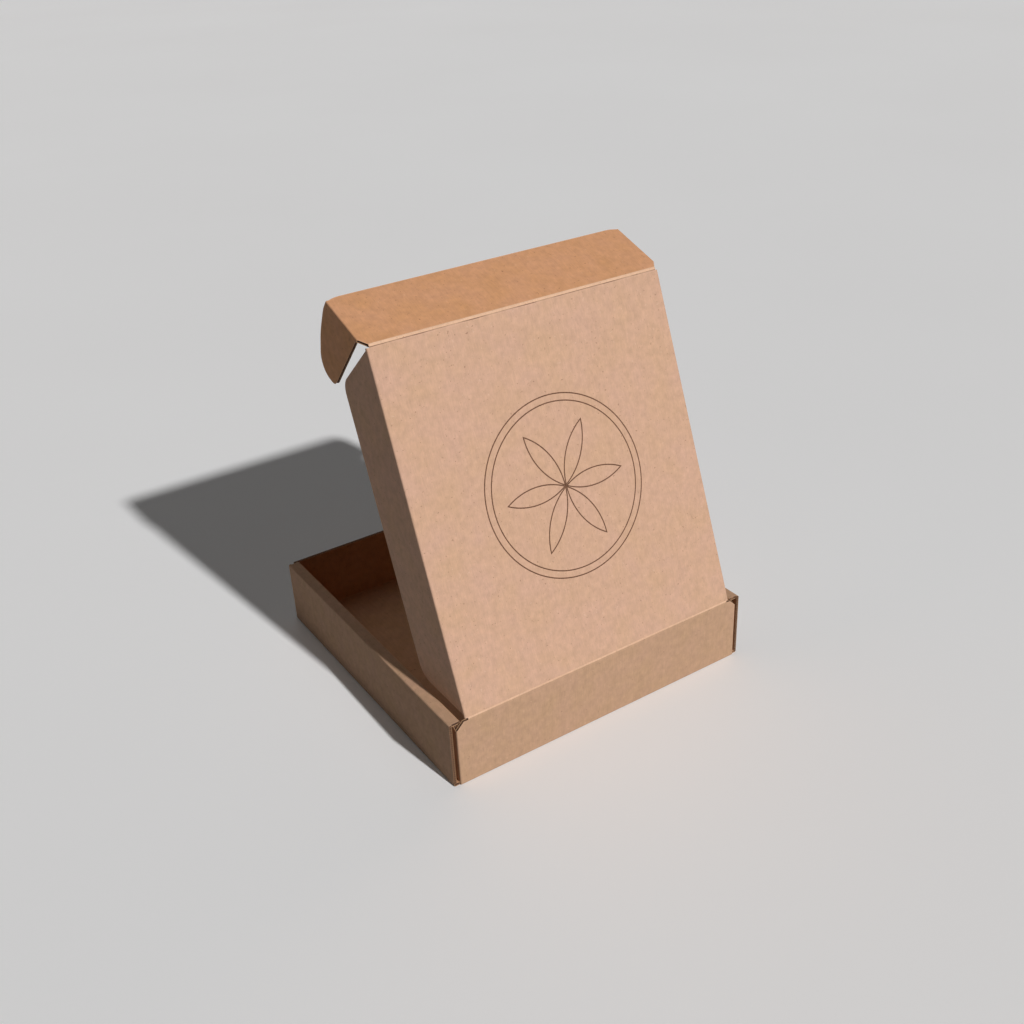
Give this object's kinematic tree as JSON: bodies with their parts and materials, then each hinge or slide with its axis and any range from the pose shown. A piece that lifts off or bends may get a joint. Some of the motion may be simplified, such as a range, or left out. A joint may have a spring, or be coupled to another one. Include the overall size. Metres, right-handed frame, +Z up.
{
  "type": "corrugated mailer box",
  "caption": "Small square roll-end mailer box in thin kraft corrugated board, with a hinged lid and a tuck flap with ears, shown part open.",
  "frame": {"origin": "centre of the tray's underside", "axes": "+Z up; the front wall is at -Y and the lid's hinge crease at +Y; +X to the right seen from the front"},
  "size_m": [0.13, 0.1306, 0.156],
  "materials": {
    "kraft_board": "uncoated brown kraft liner, matt"
  },
  "bodies": {
    "tray": {"tray": "kraft_board"},
    "lid": {"lid": "kraft_board"},
    "tuck_flap": {"tuck_flap": "kraft_board"}
  },
  "joints": [
    {"name": "lid_hinge", "type": "hinge", "parent": "tray", "child": "lid", "pos_m": [0, 0.06475, 0.0272], "axis": [-1, 0, 0], "range_deg": [-69.5, 64]},
    {"name": "tuck_hinge", "type": "hinge", "parent": "lid", "child": "tuck_flap", "pos_m": [0, 0.02003, 0.14681], "axis": [1, 0, 0], "range_deg": [-49.6, 53.9]}
  ],
  "couplings": [
    {"joint": "tuck_hinge", "follows": "lid_hinge", "ratio": -0.775}
  ]
}
